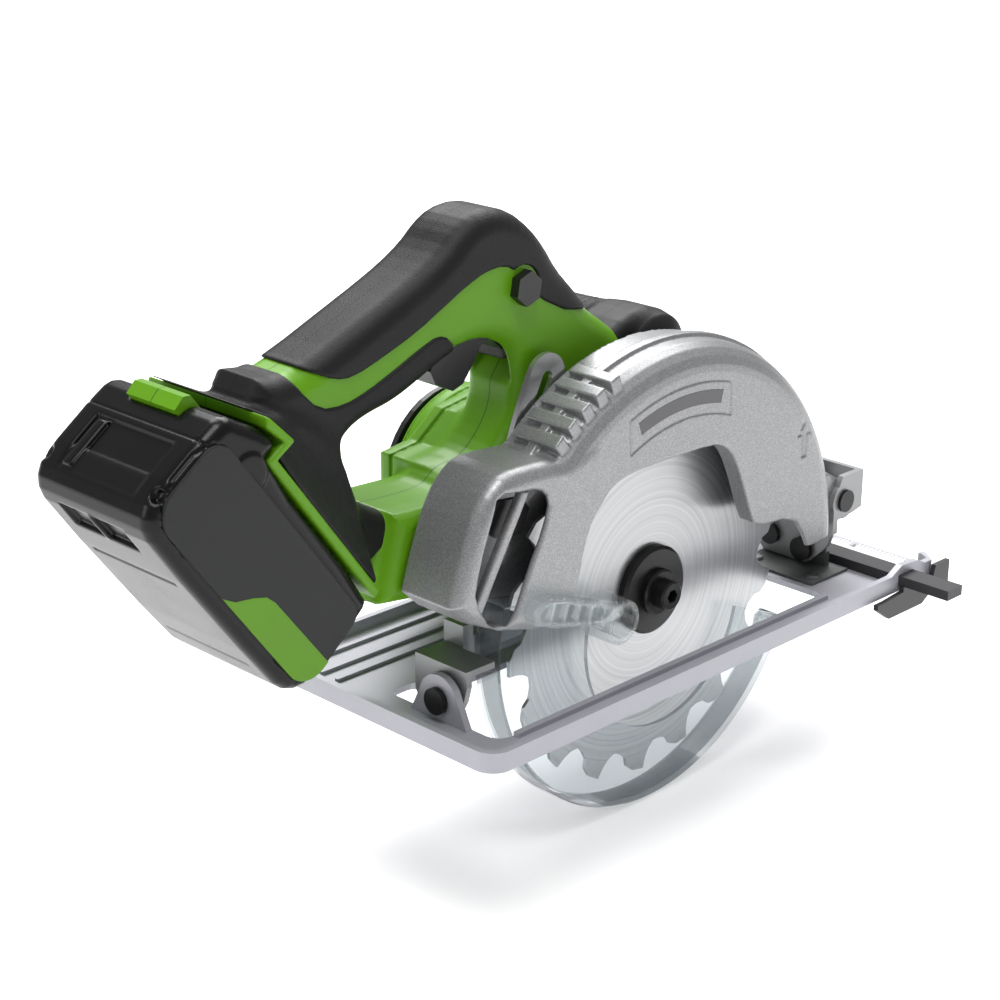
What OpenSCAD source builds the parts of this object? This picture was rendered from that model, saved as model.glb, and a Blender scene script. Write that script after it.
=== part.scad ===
// Cordless circular saw with a 7 1/4 inch blade on its right-hand side, set to full depth.
// The row frame has +X forward along the cut, +Y to the left and +Z up. Its origin is on the
// underside of the sole, on the sole's centreline, straight below the arbor.
// Shapes of the saw head are drawn about the blade's mid-plane and moved over by on_saw().

/* [Blade] */
// Radius of the blade, tip of tooth to arbor
blade_r = 92.1; // [90:0.1:92.5]
// Thickness of the blade's plate
blade_t = 1.8; // [1.4:0.1:2]
// Number of teeth
tooth_count = 18; // [12:1:24]
// Height of the arbor above the sole, which sets the greatest depth of cut
arbor_z = 27; // [27:0.5:30]

/* [Sole] */
// Width of the sole
sole_w = 145; // [143:1:150]
// Thickness of the sole's floor
sole_t = 3; // [2.5:0.1:3.2]
// Height of the lip round the sole
lip_h = 9; // [7:0.5:9]
// Thickness of the lip
lip_t = 3.2; // [2.5:0.1:4]

/* [Head] */
// Sideways place of the blade's mid-plane, from the sole's centreline
blade_y = -25.5; // [-26:0.5:-25]
// Outer radius of the upper guard's rim
rim_r = 118; // [116:0.5:118]
// Outer radius of the clear lower guard
lower_guard_r = 104; // [100:0.5:105]
// Sideways place of the handle's parting plane, from the blade
mid_y = 38; // [37:0.5:39]
// Half of the handle's width
grip_half_w = 19; // [17:0.5:19.5]
// Wall of the moulded housings
wall = 2.6; // [2:0.1:3]

/* [Battery] */
// Length of the battery pack
pack_len = 119; // [110:1:122]
// Width of the battery pack
pack_w = 76; // [72:1:78]
// Slope of the pack below the horizontal
pack_angle = 53.13; // [50:0.5:55]

/* [Gears] */
// Teeth on the spindle's gear
gear_teeth = 40; // [39:1:40]
// Teeth on the motor's pinion
pinion_teeth = 9; // [9:2:9]

/* [Hidden] */
$fn = 64;
eps = 0.01;

// Sole: its corners, its cut-out and the line the bevel turns about
sole_x0 = -147;
sole_x1 = 168;
sole_y0 = -sole_w / 2;
sole_y1 = sole_w / 2;
slot_x0 = -126;
slot_x1 = 99;
slot_y0 = -30;
slot_y1 = 24.2;
bevel_y = 2.5;
bevel_z = 12.5;
bevel_pin_r = 4;
lock_r = 20;
fence_x0 = 134;
fence_x1 = 146;
clamp_y = 49;
// Depth pivot and the arc its quadrant follows
pivot_x = 130;
pivot_z = 40;
pivot_r = 4;
quad_r0 = 196;
quad_r1 = 218;
quad_bolt_r = 207;
quad_y0 = 14;
quad_y1 = 16.6;
// Gear pair, in millimetres of module 1
module_mm = 1;
pressure = 25;
centre_gap = module_mm * (gear_teeth + pinion_teeth) / 2;
motor_dir = 127.5;
motor_x = centre_gap * cos(motor_dir);
motor_z = arbor_z + centre_gap * sin(motor_dir);
spindle_r = 8;
// Battery pack, in its own sloping frame: x along the pack, z out of the saw
pack_x0 = -273;
pack_x1 = pack_x0 + pack_len;
pack_z0 = -145;
pack_z1 = -97;
pack_y0 = mid_y - pack_w / 2;
pack_y1 = mid_y + pack_w / 2;

// ---------------------------------------------------------------- helpers
module on_saw() translate([0, blade_y, 0]) children();

// Extrudes an outline drawn in X and Z from y0 to y1
module slab(y0, y1) translate([0, y1, 0]) rotate([90, 0, 0])
    linear_extrude(y1 - y0) children();

// Extrudes an outline drawn in Y and Z from x0 to x1
module sheet(x0, x1) translate([x0, 0, 0]) rotate([90, 0, 90])
    linear_extrude(x1 - x0) children();

// A round bar along Y
module rod(x, z, r, y0, y1) slab(y0, y1) translate([x, z]) circle(r);

// A round bar along X
module bar(y, z, r, x0, x1) sheet(x0, x1) translate([y, z]) circle(r);

// Turns a profile of radius and Y round an axis along Y, from angle a0 up to a1
module turned(a0, a1, x = 0, z = arbor_z) translate([x, 0, z]) rotate([-90, 0, 0])
    rotate([0, 0, -a1]) rotate_extrude(angle = a1 - a0, $fn = 96) children();

// A sector of a ring in the X-Z plane, centred on the arbor or on another axis
module ring_sector(r0, r1, a0, a1, x = 0, z = arbor_z, steps = 40)
    polygon(concat(
        [for (i = [0 : steps]) let (a = a0 + (a1 - a0) * i / steps)
            [x + r1 * cos(a), z + r1 * sin(a)]],
        [for (i = [steps : -1 : 0]) let (a = a0 + (a1 - a0) * i / steps)
            [x + r0 * cos(a), z + r0 * sin(a)]]));

module in_pack() on_saw() rotate([0, pack_angle, 0]) children();

// Points of an arc
function arc(x, y, r, a0, a1, n) =
    [for (i = [0 : n]) let (a = a0 + (a1 - a0) * i / n) [x + r * cos(a), y + r * sin(a)]];

// Outline of a rectangle with rounded corners
function round_rect(x0, y0, x1, y1, r, n = 5) = concat(
    arc(x1 - r, y1 - r, r, 0, 90, n), arc(x0 + r, y1 - r, r, 90, 180, n),
    arc(x0 + r, y0 + r, r, 180, 270, n), arc(x1 - r, y0 + r, r, 270, 360, n));

// Outline of the belt round two circles
function belt(x0, y0, r0, x1, y1, r1, n = 16) =
    let (d = norm([x1 - x0, y1 - y0]), dir = atan2(y1 - y0, x1 - x0),
        t = acos((r0 - r1) / d))
    concat(arc(x0, y0, r0, dir + t, dir + 360 - t, n), arc(x1, y1, r1, dir - t, dir + t, n));

// Outline moved inwards by d, for points given anticlockwise
function inset(p, d) = let (n = len(p)) [for (i = [0 : n - 1])
    let (a = p[i] - p[(i + n - 1) % n], b = p[(i + 1) % n] - p[i],
        u = [-a[1], a[0]] / norm(a), v = [-b[1], b[0]] / norm(b))
    p[i] + d * (u + v) / (1 + u * v)];

// Solid between two Y planes whose outline is inset by levels[k][1] at y = levels[k][0]
module loft(p, levels) {
    n = len(p);
    m = len(levels);
    polyhedron(
        points = [for (l = levels) each [for (q = inset(p, l[1])) [q[0], l[0], q[1]]]],
        faces = concat([[for (i = [n - 1 : -1 : 0]) i]],
            [for (k = [0 : m - 2]) each [for (i = [0 : n - 1])
                [k * n + i, k * n + (i + 1) % n, (k + 1) * n + (i + 1) % n, (k + 1) * n + i]]],
            [[for (i = [0 : n - 1]) (m - 1) * n + i]]));
}

// Involute gear outline, with the first tooth on the X axis
function involute(a) = tan(a) - a * PI / 180;
function half_tooth(r, rp, rb, teeth, slack) =
    (PI / (2 * teeth) - slack / (2 * rp) + involute(pressure)
        - (r > rb ? involute(acos(rb / r)) : 0)) * 180 / PI;
function gear_points(teeth, slack = 0.12) =
    let (rp = module_mm * teeth / 2, rb = rp * cos(pressure),
        rt = rp + 0.8 * module_mm, rr = rp - 1.05 * module_mm,
        radii = [rr, max(rr, rb) + 0.02, rp - 0.1, rp + 0.4, rt])
    [for (k = [0 : teeth - 1]) let (c = 360 * k / teeth)
        each concat(
            [for (r = radii) let (h = half_tooth(r, rp, rb, teeth, slack))
                [r * cos(c - h), r * sin(c - h)]],
            [for (i = [len(radii) - 1 : -1 : 0]) let (r = radii[i],
                h = half_tooth(r, rp, rb, teeth, slack))
                [r * cos(c + h), r * sin(c + h)]])];

// ---------------------------------------------------------------- sole
function sole_points(d) = concat(
    arc(sole_x0 + 10, sole_y1 - 10, 10 - d, 90, 180, 6),
    arc(sole_x0 + 10, sole_y0 + 10, 10 - d, 180, 270, 6),
    [[sole_x1 - 6, sole_y0 + d], [sole_x1 - d, sole_y0 + 8],
        [sole_x1 - d, sole_y1 - 8], [sole_x1 - 6, sole_y1 - d]]);

module rear_ear_outline() polygon(concat(
    [[20, sole_t - 1], [bevel_y + 11, bevel_z + 3]],
    arc(bevel_y, bevel_z, 11.5, 20, 160, 8),
    [[bevel_y - 11, bevel_z + 3], [-15, sole_t - 1]]));

module base_plate() color([0.72, 0.72, 0.76]) difference() {
    union() {
        linear_extrude(sole_t) polygon(sole_points(0));
        difference() {
            linear_extrude(lip_h) polygon(sole_points(0));
            translate([0, 0, -1]) linear_extrude(lip_h + 2) polygon(sole_points(lip_t));
            translate([sole_x1 - lip_t - 1, sole_y0 + 10, sole_t])
                cube([lip_t + 2, sole_w - 20, lip_h]);
        }
        // bosses where the fence's bar runs out through both lips
        for (y = [sole_y0, sole_y1 - lip_t]) translate([0, y, 0])
            slab(0, lip_t) polygon([[120, 0], [126, 8], [136, 13], [150, 12], [166, 4], [166, 0]]);
        // bridge over the fence's bar, tapped for its clamp screw
        translate([fence_x0 - 4, clamp_y - 8, sole_t - eps]) cube([20, 16, 10]);
        // stiffening ribs beside the slot
        for (y = [36, 46.5, 60]) translate([-136, y, sole_t - eps])
            linear_extrude(1.8) polygon(round_rect(0, -1.2, 196, 1.2, 1.1, 3));
        on_saw() {
            sheet(slot_x0 - 4, slot_x0 - 0.6) rear_ear_outline();
            // raised edge on the right-hand rail
            translate([slot_x0 + 8, slot_y0 - 3.4, sole_t - eps])
                cube([slot_x1 - slot_x0 - 12, 3.2, 2.2]);
        }
    }
    on_saw() {
        translate([0, 0, -1]) linear_extrude(sole_t + 1.5) {
            polygon(round_rect(slot_x0, slot_y0, slot_x1, slot_y1, 8));
            polygon(round_rect(slot_x0, slot_y0 + 20, slot_x0 + 16, 38, 5));
        }
        bar(bevel_y, bevel_z, bevel_pin_r + 0.05, slot_x0 - 10, slot_x0 + 10);
    }
    translate([fence_x0 - 0.3, sole_y0 - 2, sole_t]) cube([12.6, sole_w + 4, 5.4]);
    translate([140, clamp_y, sole_t]) cylinder(h = 20, r = 3.05);
}

module front_scale() color([0.93, 0.93, 0.93]) translate([0, 0, sole_t])
    linear_extrude(1.2) difference() {
        polygon([[150.5, sole_y0 + 8], [163.5, sole_y0 + 8], [163.5, 38], [150.5, 38]]);
        translate([158, blade_y - 3]) square([8, 3]);
        translate([158, blade_y + 12]) square([8, 4]);
    }

foot_z = sole_t + 1.5;
module front_tilt_foot() color([0.42, 0.43, 0.43]) on_saw() difference() {
    union() {
        translate([103, -18, sole_t]) cube([29, 46, foot_z - sole_t]);
        sheet(125.5, 128.5) union() {
            translate([-9, sole_t]) square([38, 9]);
            translate([bevel_y, bevel_z]) circle(9.5);
            ring_sector(1, lock_r + 6.5, -12, 62, bevel_y, bevel_z);
        }
    }
    bar(bevel_y, bevel_z, bevel_pin_r + 0.05, 120, 135);
    sheet(120, 135) {
        ring_sector(lock_r - 3.3, lock_r + 3.3, 6, 55, bevel_y, bevel_z);
        for (a = [6, 55]) translate([bevel_y + lock_r * cos(a), bevel_z + lock_r * sin(a)])
            circle(3.3);
    }
}

module bevel_pins() color([0.1, 0.1, 0.1]) on_saw() {
    bar(bevel_y, bevel_z, bevel_pin_r, slot_x0 - 4.3, slot_x0 + 5.2);
    bar(bevel_y, bevel_z, 6, slot_x0 - 6.8, slot_x0 - 4.3);
    bar(bevel_y, bevel_z, bevel_pin_r, 121.2, 129);
    bar(bevel_y, bevel_z, 6, 118.7, 121.2);
}

module base_rivets() color([0.6, 0.6, 0.62]) on_saw()
    for (p = [[110, -13], [110, 22]]) translate([p[0], p[1], foot_z]) cylinder(h = 1.4, r = 3);

// ---------------------------------------------------------------- rip fence
module rip_fence() color([0.16, 0.16, 0.17]) {
    translate([fence_x0, -101, sole_t + 0.2]) cube([fence_x1 - fence_x0, 226, 5]);
    translate([0, sole_y0 - 4, 0]) slab(0, 2.6)
        polygon([[112, -3], [122, -10], [150, -10], [160, -4], [172, -4], [172, 7.5],
            [160, 7.5], [158, 1], [147, 1], [147, sole_t + 0.2], [133, sole_t + 0.2],
            [133, 1], [118, -0.3], [112, -0.3]]);
}

module fence_clamp_screw() color([0.14, 0.14, 0.14]) translate([140, clamp_y, 0]) {
    translate([0, 0, sole_t + 5.2]) cylinder(h = 10, r = 3);
    translate([0, 0, 18]) rotate([0, 0, 30]) translate([-11, -2.2, 0]) cube([22, 4.4, 11]);
    translate([0, 0, 15.2]) cylinder(h = 3, r = 6.5);
}

// ---------------------------------------------------------------- tilting brackets
plate_x0 = 121.6;
plate_x1 = 124.6;
module front_tilt_bracket() color([0.55, 0.56, 0.57]) on_saw() difference() {
    union() {
        sheet(plate_x0, plate_x1) polygon(concat(
            [[-15, 31], [-14.8, 28], [-12, 17.5], [-7.8, bevel_z]],
            arc(bevel_y, bevel_z, 7.3, 215, 270, 4),
            [[27, bevel_z - 7.3], [30, 9], [30, 18], [18, 31]]));
        for (y = [[-15, -12.1], [8.9, 11.6]]) slab(y[0], y[1]) union() {
            translate([pivot_x, pivot_z]) circle(9.3);
            polygon([[plate_x0, 43], [125, 48], [127.5, 53], [144.4, 53], [144.4, 33.5],
                [137, 32], [125.2, 31], [125.2, 24], [plate_x0, 24]]);
        }
        sheet(141.4, 144.4) translate([-15, 33.5]) square([26.6, 19.5]);
    }
    rod(pivot_x, pivot_z, pivot_r + 0.03, -20, 20);
    bar(bevel_y, bevel_z, bevel_pin_r + 0.05, 115, 130);
    bar(bevel_y + lock_r * cos(8), bevel_z + lock_r * sin(8), 3.05, 115, 130);
}

module rear_tilt_bracket() color([0.5, 0.51, 0.52]) on_saw() difference() {
    union() {
        sheet(-124.9, -121.9) polygon(concat(
            [[22, 27], [-9, 27], [-9.6, 20], [-7.6, bevel_z]],
            arc(bevel_y, bevel_z, 9, 200, 270, 5), [[18, bevel_z - 9], [22, 10]]));
        translate([-121.9 - eps, -9, 24.2]) cube([14, 31, 2.8]);
        // arm to the quadrant
        translate([-108, 10, 24.2]) cube([6, 12, 13]);
        translate([-121.9 - eps, 17, 15]) cube([57, 5, 12]);
    }
    bar(bevel_y, bevel_z, bevel_pin_r + 0.05, -135, -110);
}

module depth_quadrant() color([0.66, 0.67, 0.68]) on_saw() difference() {
    slab(quad_y0, quad_y1) union() {
        ring_sector(quad_r0, quad_r1, 152.5, 186, pivot_x, pivot_z);
        translate([pivot_x + quad_bolt_r * cos(152.5), pivot_z + quad_bolt_r * sin(152.5)])
            circle(11);
    }
    slab(quad_y0 - 1, quad_y1 + 1) union() {
        ring_sector(quad_bolt_r - 3.2, quad_bolt_r + 3.2, 152.5, 181, pivot_x, pivot_z);
        for (a = [152.5, 181])
            translate([pivot_x + quad_bolt_r * cos(a), pivot_z + quad_bolt_r * sin(a)])
                circle(3.2);
    }
    translate([-90, quad_y0 - 1, 0]) cube([30, 4, 20]);
}

module depth_pivot_pin() color([0.1, 0.1, 0.1]) on_saw() {
    rod(pivot_x, pivot_z, pivot_r, -15.2, 12);
    rod(pivot_x, pivot_z, 5.6, -16.6, -15.2);
    rod(pivot_x, pivot_z, 5.2, 12, 14);
}

module bevel_lock_lever() color([0.12, 0.12, 0.12]) on_saw() {
    y = bevel_y + lock_r * cos(8);
    z = bevel_z + lock_r * sin(8);
    bar(y, z, 3, 119, 136);
    bar(y, z, 5.5, 119, 121.5);
    bar(y, z, 7, 129, 136);
    sheet(130, 135) translate([y, z]) rotate(20) translate([4, -4]) polygon(
        round_rect(0, 0, 28, 8, 3.5));
}

// ---------------------------------------------------------------- upper guard
guard_near = -21;
face_t = 3;
guard_far = 12.6;
chute_points = [[-52, 118], [-95, 115.5], [-112, 114], [-120, 109], [-127, 100],
    [-133, 88], [-138, 74], [-143, 59], [-100, 38.5], [-74, 38.5], [-52, 60]];
// Window in the near face, through which the blade's hub and bolt are reached
window_points = concat([[-84, 20], [-69, 57], [-66, 71]],
    arc(-46, 77, 20, 160, 95, 5), [[-10, 97.4], [14, 96.8]],
    arc(24, 81, 14, 80, 15, 4), [[47, 59], [52, 48.5], [80.5, 46], [92, 32], [98, 20]]);

module chute_window() polygon([[-116.5, 106], [-105, 104.5], [-92, 102.5], [-88, 97],
    [-93, 85], [-102, 66], [-110, 49], [-117, 47.5], [-130, 64], [-127, 80], [-121, 96]]);

module upper_guard() color([0.68, 0.69, 0.7]) on_saw() difference() {
    union() {
        // near face, rim and far wall, turned round the arbor, with the cast seam as a ridge
        turned(1, 134) polygon([[28, guard_near], [106, guard_near], [112, -19],
            [116.3, -15], [rim_r, -9.5], [rim_r, -6], [rim_r + 2, -5.4], [rim_r + 2, -1],
            [rim_r, -0.4], [rim_r, guard_far], [34, guard_far], [34, 9.9],
            [rim_r - 3.5, 9.9], [rim_r - 3.5, -9], [112.5, -14], [109, -16.8],
            [104, guard_near + face_t], [28, guard_near + face_t]]);
        slab(10.1, guard_far - 0.5) polygon([[-90, 27.5], [-36.5, 27.5], [-30, 46], [-26, 52.5],
            [-20, 60], [-50, 100], [-80, 76]]);
        // stepped ribs on the rear of the rim
        for (a = [113 : 4.4 : 131]) turned(a, a + 2.6) polygon([[rim_r - 1, -17],
            [rim_r + 2.8, -7], [rim_r + 2.8, 9], [rim_r - 1, 10]]);
        // chute walls
        difference() {
            loft(chute_points, [[guard_near + 0.3, 9], [-19.7, 5.6], [-16.6, 2.6], [-13, 0.8],
                [-8, 0], [guard_far - 0.3, 0]]);
            loft(chute_points, [[guard_near + face_t + 0.4, 9.5], [-14.8, 5.5], [-11, 3.8],
                [-6, 3], [9.5, 3]]);
            turned(40, 200) polygon([[20, -17.3], [103.3, -17.3], [111.6, -13.4], [113.7, -8.5],
                [113.7, 9.2], [20, 9.2]]);
            translate([-130, guard_near + 6, 30]) cube([80, 22, 24]);
        }
        // lug of the depth pivot
        difference() {
            union() {
                rod(pivot_x, pivot_z, 9.2, -12, 8.8);
                slab(-12, 8.8) polygon([[114.2, 52], [118, 56], [132, 48.5], [126, 31.5],
                    [116, 31.5]]);
            }
            rod(0, arbor_z, rim_r - 3, -13, 9);
        }
    }
    slab(guard_near - 1, -12) polygon(window_points);
    slab(guard_near - 1, -10) chute_window();
    rod(pivot_x, pivot_z, pivot_r + 0.03, -20, 20);
    for (p = guard_screw_at) {
        rod(p[0], p[1], 2.6, 9, 14);
        rod(p[0], p[1], 4.4, 9, 11.5);
    }
    // room for the bracket's cheeks
    for (y = [[-16, -11.9], [8.7, 14]]) rod(pivot_x, pivot_z, 11.4, y[0], y[1]);
    // sawdust leaves forward of the cheek, over the front of the blade
    translate([96, -30, 10]) cube([30, 60, 18]);
}

guard_screw_at = [[-41, 40], [-20, 73], [22, 62], [37, 30]];

module chute_insert() color([0.08, 0.08, 0.08]) on_saw() slab(-11, -8.5)
    polygon([[-113, 100], [-94, 98], [-90, 92], [-95, 82], [-110, 84], [-117, 90]]);

module guard_screws() color([0.55, 0.55, 0.56]) on_saw()
    for (p = guard_screw_at) difference() {
        union() {
            rod(p[0], p[1], 4.2, 10, 11.45);
            rod(p[0], p[1], 2.4, 11.4, 21);
        }
        slab(9, 10.9) translate(p) circle(2, $fn = 6);
    }

// ---------------------------------------------------------------- gear case
case_y0 = 12.8;
case_y1 = 33;
module case_outline(d) union() {
    polygon(belt(0, arbor_z, 23 - d, motor_x, motor_z, 31 - d));
    for (p = guard_screw_at) polygon(belt(p[0], p[1], 6 - d, p[0] * 0.4,
        27 + (p[1] - 27) * 0.6, 8 - d, 7));
}

module gear_case() color([0.7, 0.7, 0.71]) on_saw() difference() {
    union() {
        slab(case_y0, case_y0 + 3.4) case_outline(0);
        slab(case_y0 + 1, case_y1) polygon(belt(0, arbor_z, 22.7, motor_x, motor_z, 30.7));
        rod(0, arbor_z, 20, 5, case_y0 + 1);
        for (p = guard_screw_at) rod(p[0], p[1], 5.6, case_y0 + 1, 22);
        bar(22, lock_z, 7, 8, 31);
    }
    slab(case_y0 + 3.4, case_y1 + 1) polygon(belt(0, arbor_z, 21.4, motor_x, motor_z, 28.4));
    rod(0, arbor_z, 16, 7, 14);
    rod(0, arbor_z, spindle_r + 1, 4, 40);
    for (p = guard_screw_at) rod(p[0], p[1], 2.45, 9, 21.2);
    turned(0, 360) polygon([[18.6, 5.3], [21, 5.3], [21, 6.1], [18.6, 6.1]]);
    // bore of the spindle-lock plunger
    bar(22, lock_z, 4.05, 12, 40);
}

module gear_case_cover() color([0.6, 0.6, 0.61]) on_saw() difference() {
    slab(case_y1, case_y1 + 4) polygon(belt(0, arbor_z, 23, motor_x, motor_z, 31));
    rod(0, arbor_z, 11, case_y1 - 1, case_y1 + 5);
    rod(motor_x, motor_z, 11, case_y1 - 1, case_y1 + 5);
}

module bearing(x, z, r0, r1, y0, y1) difference() {
    rod(x, z, r1, y0, y1);
    rod(x, z, r0, y0 - 1, y1 + 1);
}

module spindle_bearings() color([0.75, 0.76, 0.78]) on_saw() {
    bearing(0, arbor_z, spindle_r + 0.03, 15.98, 7.05, 13.95);
    bearing(0, arbor_z, 5.03, 10.98, 33.05, 37);
}

module motor_bearings() color([0.75, 0.76, 0.78]) on_saw() {
    bearing(motor_x, motor_z, 4.03, 10.98, 33.05, 37);
    bearing(motor_x, motor_z, 4.03, 10.98, 88, 94);
}

module guard_circlip() color([0.25, 0.25, 0.26]) on_saw()
    turned(12, 348) polygon([[18.65, 5.35], [22.5, 5.35], [22.5, 6.05], [18.65, 6.05]]);

module guard_spring() color([0.5, 0.5, 0.52]) on_saw()
    for (y = [10.2, 11.8]) translate([0, y, arbor_z]) rotate([-90, 0, 0])
        rotate_extrude($fn = 64) translate([22.3, 0]) circle(0.7, $fn = 16);

// ---------------------------------------------------------------- handle and housings
core_y0 = mid_y - grip_half_w + 2;
core_y1 = mid_y + grip_half_w - 2;
rubber_y0 = mid_y - grip_half_w;
rubber_y1 = mid_y + grip_half_w;
// Upper line of the grip, from the battery socket to the front of the hood
grip_top = [[-206, 163], [-190, 161], [-174, 166], [-148, 177], [-130, 184.5], [-116, 191],
    [-105, 197.5], [-97, 204.5], [-89, 209], [-77, 210.5], [-65, 207], [-54, 199],
    [-46, 190.5], [-38, 179], [-27, 168], [-16, 157], [-4, 149]];
// Under-side of the grip and the outline of the hand hole, from the front of the trigger round
hand_hole = [[-66, 118], [-64, 132], [-67, 147], [-73, 153], [-85, 157], [-100, 155.5], [-112, 151],
    [-124, 145.5], [-136, 141], [-150, 138.5], [-160, 134.5], [-166, 128], [-168, 119],
    [-163, 109], [-152, 99], [-138, 91.5], [-108, 91], [-99, 100], [-81, 101]];
// Under-side of the lower link and the socket's front edge
body_under = [[-172, 79], [-160, 66], [-146, 55], [-120, 52], [-102, 50], [-90, 33], [-66, 33],
    [-56, 46], [-46, 60]];
front_edge = [[-4, 149], [10, 138], [14, 118], [12, 98], [4, 76], [-10, 70]];

handle_points = concat(body_under, [for (i = [len(front_edge) - 1 : -1 : 1]) front_edge[i]],
    [for (i = [len(grip_top) - 1 : -1 : 0]) grip_top[i]], [[-201, 140]]);

// Depth from the side face and inset of each step of the handle's rounded edge
edge_steps = [[0, 6], [1, 3], [2.6, 1.2], [5, 0]];

// The moulded body of the handle, grown by an extra amount on every side
module handle_solid(extra = 0) difference() {
    for (l = edge_steps) slab(core_y0 + l[0] - extra, core_y1 - l[0] + extra)
        polygon(inset(handle_points, l[1] - extra));
    slab(core_y0 - 3, core_y1 + 3) polygon(inset(hand_hole, extra));
}

// Hollow inside the handle, which keeps clear of its rounded edges
module handle_hollow() slab(core_y0 + wall, core_y1 - wall) difference() {
    polygon(inset(handle_points, 6));
    polygon(inset(hand_hole, -6));
}

module socket_outline() polygon([[pack_x0 + 15, -94.5], [pack_x0 + 15, -84], [pack_x0 + 24, -78],
    [pack_x0 + 42, -78], [pack_x0 + 44, -84], [pack_x1 - 4, -84], [pack_x1 - 4, -94.5]]);

// Space that the pack's rails and the terminal block take out of the saw
module battery_room() rotate([0, pack_angle, 0]) {
    translate([pack_x0 - 20, pack_y0 + 13.6, -150]) cube([pack_len + 8, pack_w - 27.2, 67.4]);
    translate([pack_x1 - 12, mid_y - 22.05, -94.1]) cube([8, 44.1, 10]);
}

// One half of the socket that the pack's rails slide into
module socket_half(y0, y1) rotate([0, pack_angle, 0]) slab(y0, y1) socket_outline();

module trigger_room(y0, y1) slab(y0, y1) polygon([[-116, 145], [-116, 170], [-52, 176],
    [-52, 140], [-66, 118], [-90, 130]]);

module housing_right() color([0.42, 0.66, 0.16]) on_saw() difference() {
    union() {
        difference() {
            handle_solid();
            handle_hollow();
            slab(mid_y, core_y1 + 1) square([600, 600], center = true);
        }
        for (p = housing_screw_at) rod(p[0], p[1], 4.6, core_y0 + 1, mid_y);
        rod(depth_bolt_x, depth_bolt_z, 7, 17.1, mid_y);
        rod(trigger_pin_x, trigger_pin_z, 5, core_y0 + 1, mid_y - 11);
        socket_half(pack_y0 + 3, mid_y);
    }
    for (p = housing_screw_at) rod(p[0], p[1], 1.75, core_y0 + 3, mid_y + 1);
    trigger_room(mid_y - 11.6, mid_y + 1);
    rod(trigger_pin_x, trigger_pin_z, 2.05, mid_y - 13.2, mid_y);
    rod(lock_off_x, lock_off_z, 8.3, core_y0 - 1, mid_y + 1);
    slab(core_y0 - 1, mid_y + 1) case_outline(-0.4);
    battery_room();
    rod(depth_bolt_x, depth_bolt_z, 3.05, 10, 60);
}

motor_house_y1 = 97;
module motor_house_outline(d) polygon(belt(-30, 68, 44 - d, motor_x, motor_z + 1, 33 - d, 24));

module housing_left() color([0.42, 0.66, 0.16]) on_saw() difference() {
    union() {
        difference() {
            handle_solid();
            handle_hollow();
            slab(core_y0 - 1, mid_y) square([600, 600], center = true);
        }
        for (p = housing_screw_at) rod(p[0], p[1], 4.6, mid_y, core_y1 - 1);
        rod(depth_bolt_x, depth_bolt_z, 6, mid_y, core_y1);
        rod(trigger_pin_x, trigger_pin_z, 5, mid_y + 11, core_y1 - 1);
        socket_half(mid_y, pack_y1 - 3);
        difference() {
            slab(mid_y, 76) polygon([[-99, 60], [-99, 100], [-81, 101], [-66, 114], [-40, 118],
                [-40, 58], [-80, 58]]);
            slab(mid_y - 1, 76 - wall) polygon([[-96, 62], [-96, 97], [-80, 98], [-65, 110],
                [-43, 114], [-43, 61], [-79, 61]]);
        }
        slab(mid_y, motor_house_y1) motor_house_outline(0);
    }
    difference() {
        slab(mid_y + wall, motor_house_y1 + 1) motor_house_outline(wall);
        // plates that hold the stator
        for (y = [48, 70]) slab(y, y + 4) difference() {
            motor_house_outline(0);
            translate([motor_x, motor_z]) circle(28);
        }
    }
    rod(motor_x, motor_z, 28.2, mid_y - 1, mid_y + wall + 1);
    for (p = housing_screw_at) {
        rod(p[0], p[1], 1.75, core_y0 + 3, core_y1 + 1);
        rod(p[0], p[1], 3.6, core_y1 - 2.6, core_y1 + 1);
    }
    trigger_room(mid_y - 1, mid_y + 11.6);
    rod(trigger_pin_x, trigger_pin_z, 2.05, mid_y, mid_y + 13.2);
    rod(lock_off_x, lock_off_z, 8.3, mid_y - 1, core_y1 + 1);
    battery_room();
    rod(depth_bolt_x, depth_bolt_z, 3.05, 10, 60);
}

module motor_end_cap() color([0.1, 0.1, 0.1]) on_saw() difference() {
    union() {
        slab(motor_house_y1, motor_house_y1 + 3) motor_house_outline(2.5);
        rod(motor_x, motor_z, 14, 87.8, motor_house_y1);
    }
    rod(motor_x, motor_z, 11, 87, 94.2);
    for (i = [-3 : 3]) translate([-52 + 4, motor_house_y1 - 1, 66 + 6 * i]) cube([20, 6, 2.6]);
}

// Rubber over the top of the grip and down the rear post
grip_edge = [[-30, 158], [-55, 170.5], [-66, 183], [-73, 187], [-84, 186.5], [-96, 182], [-108, 176],
    [-124, 168], [-142, 161.5], [-158, 156.5], [-167, 157], [-180, 163]];

module rubber_outline() union() {
    polygon(concat([for (q = grip_top) q + [0, 5]], grip_edge));
    polygon([[-212, 150], [-188, 151], [-176, 146], [-163, 145], [-150, 148.5], [-136, 154],
        [-122, 160], [-112, 163.5], [-106, 161.5], [-98, 150], [-120, 130], [-150, 120],
        [-140, 98.5], [-142, 88], [-155, 77], [-172, 80], [-199, 118], [-211, 139]]);
}

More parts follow.
